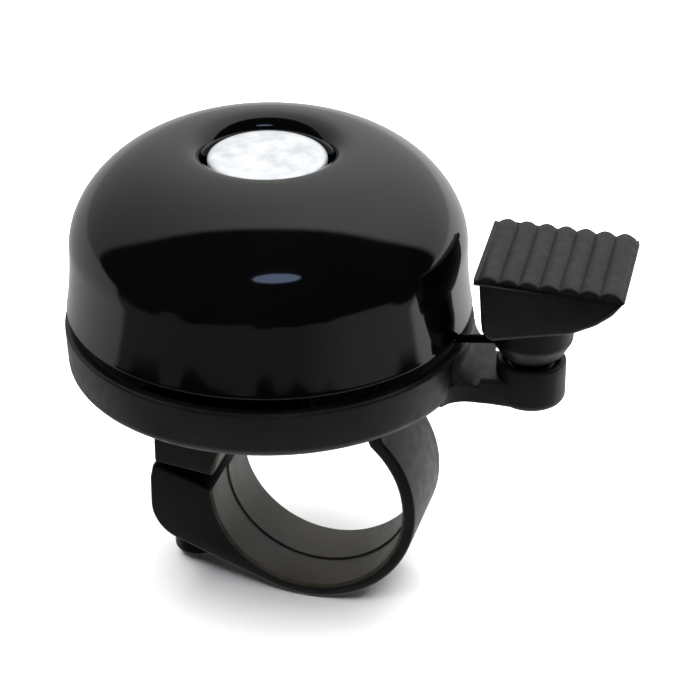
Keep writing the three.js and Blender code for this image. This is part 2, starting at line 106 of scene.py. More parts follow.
def rounded(
    corners: Sequence[Sequence[float]], radii: Sequence[float], closed: bool = False, steps: int = 7
) -> Points:
    """Return an outline with each corner replaced by an arc that touches both its sides.

    Args:
        corners: the outline's corners, two numbers each.
        radii: the rounding at each corner; 0 keeps it sharp.
        closed: whether the last corner joins the first.
        steps: points in an arc.

    Returns:
        The outline as an array of points.
    """
    pts = np.array(corners, float)
    out = []
    for i, (point, radius) in enumerate(zip(pts, radii)):
        if radius <= 0 or (not closed and i in (0, len(pts) - 1)):
            out.append(point[None])
            continue
        back, ahead = pts[i - 1] - point, pts[(i + 1) % len(pts)] - point
        room = 0.48 * min(np.linalg.norm(back), np.linalg.norm(ahead))
        back, ahead = back / np.linalg.norm(back), ahead / np.linalg.norm(ahead)
        half = acos(np.clip(back @ ahead, -1, 1)) / 2
        reach = min(radius / tan(half), room)
        radius = reach * tan(half)
        middle = (back + ahead) / np.linalg.norm(back + ahead)
        centre = point + middle * radius / sin(half)
        first, last = point + back * reach - centre, point + ahead * reach - centre
        sweep = np.pi - 2 * half
        k = np.linspace(0, 1, steps)[:, None]
        out.append(centre + (np.sin((1 - k) * sweep) * first + np.sin(k * sweep) * last) / sin(sweep))
    return np.vstack(out)


def arc(centre: Sequence[float], radius: float, start: float, end: float, steps: int) -> Points:
    """Return points on a circle from one angle to another.

    Args:
        centre: the circle's centre.
        radius: its radius.
        start: first angle in degrees.
        end: last angle in degrees.
        steps: number of points.

    Returns:
        An array of points.
    """
    a = np.radians(np.linspace(start, end, steps))
    return np.stack([centre[0] + radius * np.cos(a), centre[1] + radius * np.sin(a)], -1)


def revolve(profile: Points, centre: tuple[float, float] = (0, 0), segments: int = 160) -> Shell:
    """Turn a profile about a vertical line: the point at angle a is (r cos a, r sin a, z).

    Args:
        profile: (radius, height) points, from axis to axis, or closed on itself for a ring.
        centre: where the line stands.
        segments: points round the circle.

    Returns:
        A closed shell.
    """
    ring = bool(np.allclose(profile[0], profile[-1]))
    body = profile[:-1] if ring else profile[1:-1]
    a = np.linspace(0, 2 * np.pi, segments, endpoint=False)
    r, z = body[:, :1], np.repeat(body[:, 1:], segments, 1)
    points = np.stack([centre[0] + r * np.cos(a), centre[1] + r * np.sin(a), z], -1).reshape(-1, 3)
    faces = lattice(len(body), segments, ring)
    if ring:
        return Shell(points, faces)
    poles = np.array([[*centre, profile[0][1]], [*centre, profile[-1][1]]])
    low, high = len(points), len(points) + 1
    first = np.arange(segments)
    last = first + segments * (len(body) - 1)
    faces += np.stack([np.full(segments, low), np.roll(first, -1), first], -1).tolist()
    faces += np.stack([np.full(segments, high), last, np.roll(last, -1)], -1).tolist()
    return Shell(np.vstack([points, poles]), faces)


def loft(rings: Points) -> Shell:
    """Join rings of equal count into a skin and close both ends with a flat face.

    Args:
        rings: array of rings by points by three.

    Returns:
        A closed shell.
    """
    rows, columns, _ = rings.shape
    faces = lattice(rows, columns, False)
    faces.append(list(range(columns)))
    faces.append(list(range(rows * columns - 1, (rows - 1) * columns - 1, -1)))
    return Shell(rings.reshape(-1, 3), faces)


def drawn_in(outline: Points, inset: float) -> Points:
    """Move a closed anticlockwise outline inwards along its own normals.

    Args:
        outline: points in the plane.
        inset: how far.

    Returns:
        The outline, drawn in.
    """
    along = np.roll(outline, -1, 0) - np.roll(outline, 1, 0)
    along /= np.maximum(np.linalg.norm(along, axis=1, keepdims=True), 1e-9)
    return outline + inset * np.stack([-along[:, 1], along[:, 0]], -1)


def slab(outline: Callable[[float], Points], stations: Sequence[float], edge: float) -> Shell:
    """Carry an outline in the XZ plane along Y, drawn in by a quarter circle at both ends.

    Args:
        outline: gives the anticlockwise outline at a place along Y.
        stations: places along Y, of which the first and last are the two faces.
        edge: radius of the rounded edges.

    Returns:
        A closed shell.
    """
    turn = np.radians(np.linspace(0, 90, 5))
    low, high = stations[0], stations[-1]
    depths = [edge * (1 - cos(t)) for t in turn]
    curve = [edge * (1 - sin(t)) for t in turn]
    places = [low + d for d in depths] + list(stations[1:-1]) + [high - d for d in depths[::-1]]
    insets = curve + [0.0] * (len(stations) - 2) + curve[::-1]
    rings = []
    for place, inset in zip(places, insets):
        flat = drawn_in(outline(place), inset)
        rings.append(np.stack([flat[:, 0], np.full(len(flat), place), flat[:, 1]], -1))
    return loft(np.array(rings))


def rod(start: Sequence[float], end: Sequence[float], radius: float, sides: int = 24) -> Shell:
    """Return a straight round rod between two points, for wires and cutters.

    Args:
        start: centre of one end.
        end: centre of the other.
        radius: its radius.
        sides: points round it.

    Returns:
        A closed shell.
    """
    start, end = np.array(start, float), np.array(end, float)
    axis = (end - start) / np.linalg.norm(end - start)
    side = np.cross(axis, [0, 0, 1] if abs(axis[2]) < 0.9 else [1, 0, 0])
    side /= np.linalg.norm(side)
    other = np.cross(axis, side)
    a = np.linspace(0, 2 * np.pi, sides, endpoint=False)[:, None]
    ring = radius * (np.cos(a) * side + np.sin(a) * other)
    return loft(np.array([start + ring, end + ring]))


def made(name: str, shell: Shell, crease: float = 38.0) -> bpy.types.Object:
    """Write a shell as a Blender object, faces outwards, smooth but for its creases.

    Args:
        name: the piece's name.
        shell: its surface in millimetres.
        crease: edges that turn more than this many degrees stay sharp.

    Returns:
        The object, linked to the scene.
    """
    mesh = bpy.data.meshes.new(name)
    mesh.from_pydata((shell.points * MM).tolist(), [], shell.faces)
    work = bmesh.new()
    work.from_mesh(mesh)
    bmesh.ops.recalc_face_normals(work, faces=work.faces)
    work.to_mesh(mesh)
    work.free()
    finish_shading(mesh, crease)
    piece = bpy.data.objects.new(name, mesh)
    bpy.context.scene.collection.objects.link(piece)
    return piece


def finish_shading(mesh: bpy.types.Mesh, crease: float) -> None:
    """Shade a mesh smooth, with sharp edges where it turns more than crease degrees."""
    mesh.shade_smooth()
    mesh.set_sharp_from_angle(angle=radians(crease))


class Cut(Enum):
    """How a second solid changes a piece."""

    AWAY = "DIFFERENCE"
    JOIN = "UNION"


def shaped(piece: bpy.types.Object, tool: Shell, cut: Cut, crease: float = 38.0) -> bpy.types.Object:
    """Cut a solid out of a piece, or join it on, and keep the result as the piece's own mesh.

    Args:
        piece: the object to change.
        tool: the other solid.
        cut: away or join.
        crease: edges that turn more than this many degrees stay sharp.

    Returns:
        The same object.
    """
    helper = made(piece.name + "_tool", tool)
    modifier = piece.modifiers.new("shape", "BOOLEAN")
    modifier.operation, modifier.solver, modifier.object = cut.value, "EXACT", helper
    seen = piece.evaluated_get(bpy.context.evaluated_depsgraph_get())
    mesh = bpy.data.meshes.new_from_object(seen)
    piece.modifiers.clear()
    old, piece.data = piece.data, mesh
    mesh.name = piece.name
    bpy.data.meshes.remove(old)
    bpy.data.objects.remove(helper)
    finish_shading(mesh, crease)
    return piece


# ------------------------------------------------------------------------------- materials


def linear(code: str) -> tuple[float, float, float, float]:
    """Turn an sRGB hex colour such as "#1c1c1e" into linear red, green, blue and alpha."""
    values = [int(code[i : i + 2], 16) / 255 for i in (1, 3, 5)]
    bright = [v / 12.92 if v <= 0.04045 else ((v + 0.055) / 1.055) ** 2.4 for v in values]
    return (*bright, 1.0)


def add(tree: Tree, kind: str, links: dict | None = None, **settings: object) -> bpy.types.Node:
    """Add a node with its settings, its socket values and its links.

    Args:
        tree: the material's node tree.
        kind: the node's type.
        links: socket name or number to a value, or to another node's output.
        **settings: the node's own properties.

    Returns:
        The new node.
    """
    node = tree.nodes.new(kind)
    for name, value in settings.items():
        setattr(node, name, value)
    for key, value in (links or {}).items():
        socket = node.inputs[key]
        if isinstance(value, Socket):
            tree.links.new(value, socket)
        else:
            socket.default_value = value
    return node


@dataclass(frozen=True)
class Finish:
    """What every finish has: a name, a base colour and a record slot."""

    name: str
    slot: str
    colour: str

    def material(self) -> bpy.types.Material:
        """Return the finish's material, made once.

        Returns:
            The material.
        """
        known = bpy.data.materials.get(self.name)
        if known:
            return known
        material = bpy.data.materials.new(self.name)
        material.use_nodes = True
        tree = material.node_tree
        shader = tree.nodes["Principled BSDF"]
        shader.inputs["Base Color"].default_value = linear(self.colour)
        place = add(tree, "ShaderNodeTexCoord").outputs["Object"]
        self.build(tree, shader, place)
        return material

    def build(self, tree: Tree, shader: bpy.types.Node, place: Socket) -> None:
        """Add the finish's own nodes; each finish has its own.

        Args:
            tree: the material's node tree.
            shader: its Principled shader.
            place: object coordinates, in metres.
        """
        raise NotImplementedError

    def speckle(self, tree: Tree, place: Socket, size_mm: float, detail: float = 2.0) -> Socket:
        """Return a noise whose lumps are about size_mm across.

        Args:
            tree: the material's node tree.
            place: the coordinates it reads.
            size_mm: lump size.
            detail: octaves.

        Returns:
            The noise's value, 0 to 1.
        """
        links = {"Vector": place, "Scale": 1 / (size_mm * MM), "Detail": detail}
        return add(tree, "ShaderNodeTexNoise", links).outputs["Fac"]

    def span(
        self, tree: Tree, value: Socket, low: float, high: float, start: float = 0.3, end: float = 0.7
    ) -> Socket:
        """Spread a value from one range to another.

        Args:
            tree: the material's node tree.
            value: what is spread.
            low: result at start.
            high: result at end.
            start: value that gives low.
            end: value that gives high.

        Returns:
            The spread value.
        """
        links = {"Value": value, "From Min": start, "From Max": end, "To Min": low, "To Max": high}
        return add(tree, "ShaderNodeMapRange", links).outputs["Result"]

    def tinted(self, tree: Tree, factor: Socket, first: str, second: str) -> Socket:
        """Blend two colours by a factor and return the colour."""
        links = {0: factor, 6: linear(first), 7: linear(second)}
        return add(tree, "ShaderNodeMix", links, data_type="RGBA").outputs[2]

    def raised(
        self, tree: Tree, height: Socket, depth_mm: float, under: Socket | None = None
    ) -> Socket:
        """Return a bumped normal.

        Args:
            tree: the material's node tree.
            height: 0 to 1.
            depth_mm: what a height of 1 stands for.
            under: a normal to start from.

        Returns:
            The normal.
        """
        links = {"Height": height, "Distance": depth_mm * MM, "Strength": 1.0}
        if under:
            links["Normal"] = under
        return add(tree, "ShaderNodeBump", links).outputs["Normal"]


@dataclass(frozen=True)
class StoveEnamel(Finish):
    """Black stoving enamel sprayed on steel: a deep, near-mirror gloss with a faint orange peel."""

    peel_mm: float = 2.6
    dust_mm: float = 0.35

    def build(self, tree: Tree, shader: bpy.types.Node, place: Socket) -> None:
        """Mirror gloss, a slow swell of orange peel and fine dust nibs."""
        peel = self.speckle(tree, place, self.peel_mm, 1.0)
        dust = self.speckle(tree, place, self.dust_mm, 3.0)
        haze = self.speckle(tree, place, 9.0, 3.0)
        tree.links.new(self.span(tree, haze, 0.045, 0.1), shader.inputs["Roughness"])
        nibs = self.span(tree, dust, 0.0, 1.0, 0.74, 0.8)
        normal = self.raised(tree, peel, 0.0045)
        tree.links.new(self.raised(tree, nibs, 0.002, normal), shader.inputs["Normal"])
        tree.links.new(self.tinted(tree, haze, self.colour, "#040404"), shader.inputs["Base Color"])
        shader.inputs["IOR"].default_value = 1.54
        shader.inputs["Coat Weight"].default_value = 0.35
        shader.inputs["Coat Roughness"].default_value = 0.03


@dataclass(frozen=True)
class MouldedNylon(Finish):
    """Black nylon moulded in a spark-eroded tool: a satin skin with fine grain, and a painted sheen, paler
    and warmer, on the clamp's bore.
    """

    # Painted light: the paler, warmer colour given to the bore stands for the sheen on the lit inside of the
    # ring.
    painted_bore_sheen: str = "#403b31"
    grain_mm: float = 0.22
    bore_mm: float = 11.75

    def build(self, tree: Tree, shader: bpy.types.Node, place: Socket) -> None:
        """Tool grain as bump, flow marks in the colour, scuffed roughness, and painted sheen on the bore,
        broken into patches.
        """
        grain = self.speckle(tree, place, self.grain_mm, 3.0)
        flow = self.speckle(tree, place, 5.0, 4.0)
        scuff_and_sheen_noise = self.speckle(tree, place, 1.3, 5.0)
        skin = self.tinted(tree, self.span(tree, flow, 0.0, 1.0), self.colour, "#0e0e0e")
        # The bore is the surface nearest the handlebar's axis, which runs along Y.
        across = {0: place, 1: (1, 0, 1)}
        flat = add(tree, "ShaderNodeVectorMath", across, operation="MULTIPLY").outputs[0]
        reach = add(tree, "ShaderNodeVectorMath", {0: flat}, operation="LENGTH").outputs["Value"]
        near, far = (self.bore_mm - 0.1) * MM, (self.bore_mm + 0.1) * MM
        # Painted light: the bore is coloured paler and warmer as painted sheen, and a noise breaks it into
        # patches.
        inside = self.span(tree, reach, 1.0, 0.0, near, far)
        patches = self.span(tree, scuff_and_sheen_noise, 0.45, 1.0)
        painted_sheen_mask = add(tree, "ShaderNodeMath", {0: inside, 1: patches}, operation="MULTIPLY").outputs[0]
        blend = {0: painted_sheen_mask, 6: skin, 7: linear(self.painted_bore_sheen)}
        paler = add(tree, "ShaderNodeMix", blend, data_type="RGBA").outputs[2]
        tree.links.new(paler, shader.inputs["Base Color"])
        tree.links.new(self.span(tree, scuff_and_sheen_noise, 0.3, 0.46), shader.inputs["Roughness"])
        normal = self.raised(tree, grain, 0.012)
        tree.links.new(self.raised(tree, flow, 0.03, normal), shader.inputs["Normal"])
        shader.inputs["IOR"].default_value = 1.53


@dataclass(frozen=True)
class PolishedAluminium(Finish):
    """Pressed and tumbled aluminium: bright, with a cloudy, hand-marked polish."""

    cloud_mm: float = 1.9

    def build(self, tree: Tree, shader: bpy.types.Node, place: Socket) -> None:
        """Clouds in roughness and colour, shallow dents and fine rub marks."""
        cloud = self.speckle(tree, place, self.cloud_mm, 4.0)
        marks = self.speckle(tree, place, 0.3, 4.0)
        shader.inputs["Metallic"].default_value = 0.65
        tint = self.tinted(tree, self.span(tree, cloud, 0.0, 1.0), self.colour, "#c3c7cc")
        tree.links.new(tint, shader.inputs["Base Color"])
        tree.links.new(self.span(tree, cloud, 0.28, 0.46), shader.inputs["Roughness"])
        normal = self.raised(tree, cloud, 0.05)
        tree.links.new(self.raised(tree, marks, 0.006, normal), shader.inputs["Normal"])


@dataclass(frozen=True)
class PlatedSteel(Finish):
    """Machined steel with thin plating or left bare: turning marks round it and a slight stain."""

    dark: str = "#8f9297"
    rough: float = 0.3

    def build(self, tree: Tree, shader: bpy.types.Node, place: Socket) -> None:
        """Stained colour, fine grain and roughness that varies with the stain."""
        stain = self.speckle(tree, place, 1.6, 4.0)
        grain = self.speckle(tree, place, 0.12, 2.0)
        shader.inputs["Metallic"].default_value = 1.0
        tint = self.tinted(tree, self.span(tree, stain, 0.0, 1.0), self.colour, self.dark)
        tree.links.new(tint, shader.inputs["Base Color"])
        tree.links.new(self.span(tree, stain, self.rough, self.rough + 0.16), shader.inputs["Roughness"])
        tree.links.new(self.raised(tree, grain, 0.004), shader.inputs["Normal"])


@dataclass(frozen=True)
class VulcanFibre(Finish):
    """Red vulcanised fibre stamped from sheet: dull, with a felted grain."""

    def build(self, tree: Tree, shader: bpy.types.Node, place: Socket) -> None:
        """Felted colour and a dry, uneven skin."""
        felt = self.speckle(tree, place, 0.4, 5.0)
        tint = self.tinted(tree, self.span(tree, felt, 0.0, 1.0), self.colour, "#5e2c20")
        tree.links.new(tint, shader.inputs["Base Color"])
        shader.inputs["Roughness"].default_value = 0.85
        tree.links.new(self.raised(tree, felt, 0.03), shader.inputs["Normal"])


ENAMEL = StoveEnamel("black_stove_enamel", "enamel", "#010101")
NYLON = MouldedNylon("black_moulded_nylon", "nylon", "#060606")
ALUMINIUM = PolishedAluminium("polished_aluminium", "aluminium", "#e9ebed")
ZINC = PlatedSteel("zinc_plated_steel", "zinc", "#c9ccd1")
BLACKED = PlatedSteel("black_oxide_steel", "black_steel", "#2b2b2d", "#1b1b1c", 0.34)
SPRING = PlatedSteel("drawn_spring_steel", "spring_steel", "#7f8287", "#5c5f63", 0.26)
BLUED = PlatedSteel("blued_spring_wire", "spring_steel", "#1d1d20", "#121213", 0.3)
BRASS = PlatedSteel("turned_brass", "brass", "#c9a253", "#9a7634", 0.26)
FIBRE = VulcanFibre("red_vulcan_fibre", "fibre", "#7c3d2c")


def dressed(piece: bpy.types.Object, finish: Finish, body: str, *nodes: str) -> bpy.types.Object:
    """Give a piece its finish and body, and let it stand for CAD nodes.

    Args:
        piece: the object.
        finish: its finish.
        body: the CAD body that it rides on.
        *nodes: CAD nodes that it stands for.

    Returns:
        The same object.
    """
    piece.data.materials.clear()
    piece.data.materials.append(finish.material())
    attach(piece, body)
    if nodes:
        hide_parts(*nodes)
    stands_for = ", ".join(nodes) or "no node"
    LOG.info("%s: %d faces, on %s, for %s", piece.name, len(piece.data.polygons), body, stands_for)
    return piece


# ----------------------------------------------------------------------------- sub-assemblies


@dataclass
class Screw:
    """A pan-headed screw on a vertical line, with a cross recess and a rolled thread."""

    x: float
    radius: float
    head: float
    head_from: float
    head_to: float
    tip: float
    recess: float
    pitch: float = 0.7
    thread: float = 0.16
    run_out: float = 0.35
    head_edge: float = 0.45
    neck: float = 0.12
    slot_half: float = 0.32
    slot_reach: float = 0.55

    def shell(self) -> Shell:
        """Return its surface: a turned head, and a shank whose radius follows a helix.

        At height z and angle a the thread's radius is r - d |saw(z / pitch - a / turn)|.

        Returns:
            The closed shell.
        """
        up = 1.0 if self.tip > self.head_from else -1.0
        outer, inner = (self.head_from, self.head_to) if up > 0 else (self.head_to, self.head_from)
        head = rounded(
            [(0, outer), (self.head, outer), (self.head, inner), (self.radius, inner)],
            [0, self.head_edge, self.neck, 0.0],
        )
        rows = max(24, int(abs(self.tip - inner) / self.pitch * 8))
        z = np.linspace(inner + up * 0.05, self.tip - up * self.run_out, rows)
        shank = np.stack([np.full(rows, self.radius), z], -1)
        end = np.array([(self.radius - self.run_out, self.tip), (0, self.tip)])
        shell = revolve(np.vstack([head[:-1], [(self.radius, inner)], shank, end]), (self.x, 0), 48)
        flat = shell.points[:, :2] - [self.x, 0]
        angle = np.arctan2(flat[:, 1], flat[:, 0])
        below = (shell.points[:, 2] - inner) * up
        on_shank = (np.abs(np.hypot(*flat.T) - self.radius) < 1e-6) & (below > 0.3)
        phase = shell.points[:, 2] / self.pitch - angle / (2 * np.pi)
        depth = self.thread * np.abs(2 * (phase - np.floor(phase)) - 1) * on_shank
        shell.points[:, :2] -= flat / self.radius * depth[:, None]
        return shell

    def cross(self) -> Shell:
        """Return the tapered cross that is cut into the head."""
        up = 1.0 if self.tip > self.head_from else -1.0
        outer = self.head_from if up > 0 else self.head_to
        reach, half = self.head * self.slot_reach, self.slot_half
        plus = np.array(
            [(reach, -half), (reach, half), (half, half), (half, reach), (-half, reach), (-half, half),
             (-reach, half), (-reach, -half), (-half, -half), (-half, -reach), (half, -reach), (half, -half)]
        )
        places = [(outer - up * 0.4, 1.06), (outer, 1.0), (outer + up * self.recess, 0.62)]
        rings = [np.column_stack([plus * size + [self.x, 0], np.full(12, z)]) for z, size in places]
        return loft(np.array(rings))

    def build(self, name: str, finish: Finish, body: str) -> bpy.types.Object:
        """Make the screw and cut its cross.

        Args:
            name: the piece's name, before "_turned".
            finish: its finish.
            body: the body it rides on.

        Returns:
            The screw.
        """
        piece = shaped(made(name + "_turned", self.shell()), self.cross(), Cut.AWAY)
        return dressed(piece, finish, body, name)


@dataclass
class Gong:
    """The enamelled dome with its recessed crown and the bright cap in it."""

    x: float = -6.0
    lip: float = 22.6
    lip_radius: float = 23.2
    wall_radius: float = 22.56
    wall_height: float = 7.7
    crown_radius: float = 9.8
    crown_height: float = 19.45
    rise: float = 5.15
    run: float = 7.1
    drop: float = 0.7
    thickness: float = 1.2
    recess: float = 7.1
    recess_edge: float = 2.3
    floor: float = 14.35
    cap_top: float = 18.6
    cap_radius: float = 6.75
    lip_edge: float = 0.32
    bead: float = 0.3
    post_hole: float = 3.0

    def shoulder(self) -> Points:
        """Return the shoulder: a cubic curve that leaves the wall upright and meets the crown."""
        ends = np.array(
            [(self.wall_radius, self.wall_height),
             (self.wall_radius, self.wall_height + self.rise),
             (self.crown_radius + self.run, self.crown_height - self.drop),
             (self.crown_radius, self.crown_height)]
        )
        t = np.linspace(0, 1, 48)[:, None]
        u = 1 - t
        return u**3 * ends[0] + 3 * t * u**2 * ends[1] + 3 * t**2 * u * ends[2] + t**3 * ends[3]

    def wall(self) -> Points:
        """Return the wall, which flares to the lip with the square of its depth."""
        h = np.linspace(self.lip_edge, self.wall_height, 24)[:-1]
        flare = (self.lip_radius - self.wall_radius) * ((self.wall_height - h) / self.wall_height) ** 2
        return np.stack([self.wall_radius + flare, h], -1)

    def profile(self) -> Points:
        """Return the closed profile of the pressed sheet, outside then inside."""
        skin = np.vstack([self.wall(), self.shoulder()])
        along = np.gradient(skin, axis=0)
        along /= np.linalg.norm(along, axis=1, keepdims=True)
        inner = skin + self.thickness * np.stack([-along[:, 1], along[:, 0]], -1)
        t, r, f = self.thickness, self.recess, self.floor
        lip = arc((self.lip_radius - self.lip_edge, self.lip_edge), self.lip_edge, -90, 0, 6)[:-1]
        bead = arc((self.lip_radius - t + self.bead, self.bead), self.bead, 180, 270, 5)
        drop = self.crown_height - self.recess_edge
        edge = arc((r + self.recess_edge, drop), self.recess_edge, 90, 180, 20)
        hole = self.post_hole
        foot = rounded([(r, drop), (r, f), (hole, f)], [0, 0.1, 0])
        under = np.array([(hole, f), (hole, f - t), (r + t - 0.3, f - t), (r + t, drop - t)])
        inner = inner[inner[:, 1] > self.bead][::-1]
        line = np.vstack([under, inner, bead, lip, skin, edge[1:], foot[1:]])
        return line + [0, self.lip]

    def cap_profile(self) -> Points:
        """Return the cap's profile: a shallow dome with a rolled edge and a short skirt."""
        top, foot = self.cap_top, self.floor + 0.05
        r = np.linspace(0, self.cap_radius - 0.6, 20)
        dome = np.stack([r, top - 0.28 * (r / self.cap_radius) ** 2], -1)[::-1]
        outside = [(6.6, foot), (self.cap_radius, top - 0.55), (self.cap_radius - 0.62, top - 0.24)]
        edge = rounded(outside, [0, 0.5, 0], steps=8)
        inside = np.array([(0, top - 0.8), (5.9, top - 1.0), (5.9, foot)])
        return np.vstack([inside, edge[:-1], dome]) + [0, self.lip]

    def build(self) -> list[bpy.types.Object]:
        """Make and dress the dome and the cap."""
        centre = (self.x, 0.0)
        gong = made("gong_dome", revolve(self.profile(), centre, 224), 50)
        cap = made("gong_cap", revolve(self.cap_profile(), centre, 128), 50)
        return [dressed(gong, ENAMEL, "base", "gong"), dressed(cap, ALUMINIUM, "base", "crown_cap")]


@dataclass
class Base:
    """The moulded dish, its arm to the lever and the boss that the lever turns in."""

    x: float = -6.0
    bottom: float = 15.2
    rim_top: float = 21.0
    rim: float = 23.5
    rim_inner: float = 22.1
    edge: float = 1.4
    floor: float = 2.0
    hole: float = 2.15
    pivot: float = 24.7
    boss: float = 3.95
    boss_top: float = 19.7
    boss_bottom: float = 14.35
    arm_top: float = 17.9
    arm_bottom: float = 14.65
    arm_half: float = 3.6
    arm_sweep: float = 5.0
    arm_edge: float = 0.45
    ramp_half: float = 5.2
    ramp_length: float = 2.2
    head_bore: float = 2.75
    stem_bore: float = 1.9
    spring_bore: float = 3.3
    web: tuple[float, float] = (16.6, 17.2)
    rib_angles: tuple[int, ...] = (60, 120, 180, 240, 300)
    rib_reach: tuple[float, float] = (6.9, 21.6)
    rib_half: float = 0.6
    rib_height: float = 1.7
    # What is taken off under the arm's root, so that it fades into the dish's lower edge.
    relief: tuple[tuple[float, float], ...] = (
        (13, 13.5), (20.5, 13.5), (20.5, 14.65), (15, 15.9), (13, 15.9)
    )
    relief_half: float = 13

    def dish(self) -> Shell:
        """Return the dish, turned from a profile with rounded rim and lower edge."""
        b, r, f = self.bottom, self.rim, self.bottom + self.floor
        h = self.hole
        inner, top = self.rim_inner, self.rim_top
        corners = [(h, b), (r - 0.3, b), (r, top), (inner, top), (inner, f), (h, f)]
        profile = rounded(corners, [0, self.edge, 0.42, 0.38, 1.2, 0], steps=9)
        ring = [self.stretched(profile[i], profile[i + 1]) for i in range(len(profile) - 1)]
        return revolve(np.vstack([*ring, profile[-1:], profile[:1]]), (self.x, 0), 200)

    def stretched(self, start: Points, end: Points) -> Points:
        """Return start and, on a long line, points every 3 mm or so on the way to end."""
        count = max(1, int(np.linalg.norm(end - start) / 3))
        return start + (end - start) * np.linspace(0, 1, count, endpoint=False)[:, None]

    def arm(self) -> Shell:
        """Return the arm: an outline seen from above, carried up with rounded edges."""
        reach_y = self.arm_half + self.arm_sweep
        ring = self.rim - 0.3 + self.arm_sweep
        reach = sqrt(ring**2 - reach_y**2)
        tangent = degrees(atan2(reach_y, reach))
        near = arc((self.x + reach, -reach_y), self.arm_sweep, 180 - tangent, 90, 16)
        far = near[::-1] * [1, -1]
        root, end = self.x + 21.0, self.pivot + 0.8
        first, last = [(root, near[0][1] - 0.2)], [(root, far[-1][1] + 0.2)]
        tip = [(end, -self.arm_half), (end, self.arm_half)]
        line = np.vstack([first, near, tip, far, last])
        turn, edge = np.radians(np.linspace(0, 90, 6)), self.arm_edge
        low = [(self.arm_bottom + edge * (1 - cos(t)), edge * (1 - sin(t))) for t in turn]
        high = [(self.arm_top - edge * (1 - cos(t)), edge * (1 - sin(t))) for t in turn[::-1]]
        levels = low + high
        rings = [np.column_stack([drawn_in(line, inset), np.full(len(line), z)]) for z, inset in levels]
        return loft(np.array(rings))

    def ramp(self) -> Shell:
        """Return the concave ramp that leads the rim's top down to the arm's top."""
        start, foot = self.x + self.rim_inner + 0.6, self.x + self.rim + self.ramp_length
        rise = self.rim_top - 0.4 - self.arm_top
        low = self.arm_top - 0.5
        sweep = arc((foot, self.rim_top - 0.4), rise, -90, -180, 12)
        line = np.vstack([[(start, low), (foot, low)], sweep, [(start, self.rim_top - 0.4)]])
        return slab(lambda y: line, [-self.ramp_half, self.ramp_half], 0.1)

    def post(self) -> Shell:
        """Return the boss, turned with rounded edges."""
        r, low, high = self.boss, self.boss_bottom, self.boss_top
        corners = [(0, low), (r, low), (r, high), (0, high)]
        return revolve(rounded(corners, [0, 1.0, 0.4, 0], steps=8), (self.pivot, 0), 72)

    def bore(self, radius: float, start: float, end: float, x: float) -> Shell:
        """Return an upright round cutter."""
        return revolve(np.array([(0, start), (radius, start), (radius, end), (0, end)]), (x, 0), 64)

    def pivot_bore(self) -> Shell:
        """Return the stepped cutter for the boss: screw head, web and spring pocket."""
        low, high = self.boss_bottom - 1, self.boss_top + 1
        head, stem, spring = self.head_bore, self.stem_bore, self.spring_bore
        web, top = self.web
        steps = [(0, low), (head, low), (head, web), (stem, web)]
        steps += [(stem, top), (spring, top), (spring, high), (0, high)]
        return revolve(np.array(steps), (self.pivot, 0), 64)

    def rib(self, angle: float) -> Shell:
        """Return one of the stiffening ribs inside the dish."""
        a, z = radians(angle), self.bottom + self.floor
        inner, outer = self.rib_reach
        foot, top = z - self.rib_half, z + self.rib_height
        line = np.array([(inner, foot), (outer, foot), (outer, top), (inner, top)])
        shell = slab(lambda y: line, [-self.rib_half, self.rib_half], 0.2)
        turn = np.array([[cos(a), sin(a), 0], [-sin(a), cos(a), 0], [0, 0, 1]])
        return Shell(shell.points @ turn + [self.x, 0, 0], shell.faces)

    def build(self) -> list[bpy.types.Object]:
        """Join the dish, arm, ramp, boss and ribs, bore them and dress the base."""
        piece = made("base_moulding", self.arm())
        relief, half = np.array(self.relief), self.relief_half
        shaped(piece, slab(lambda y: relief, [-half, half], SHARP), Cut.AWAY)
        joined = [self.dish(), self.ramp(), self.post(), *[self.rib(a) for a in self.rib_angles]]
        for solid in joined:
            shaped(piece, solid, Cut.JOIN)
        shaped(piece, self.pivot_bore(), Cut.AWAY)
        return [dressed(piece, NYLON, "base", "base_plate")]


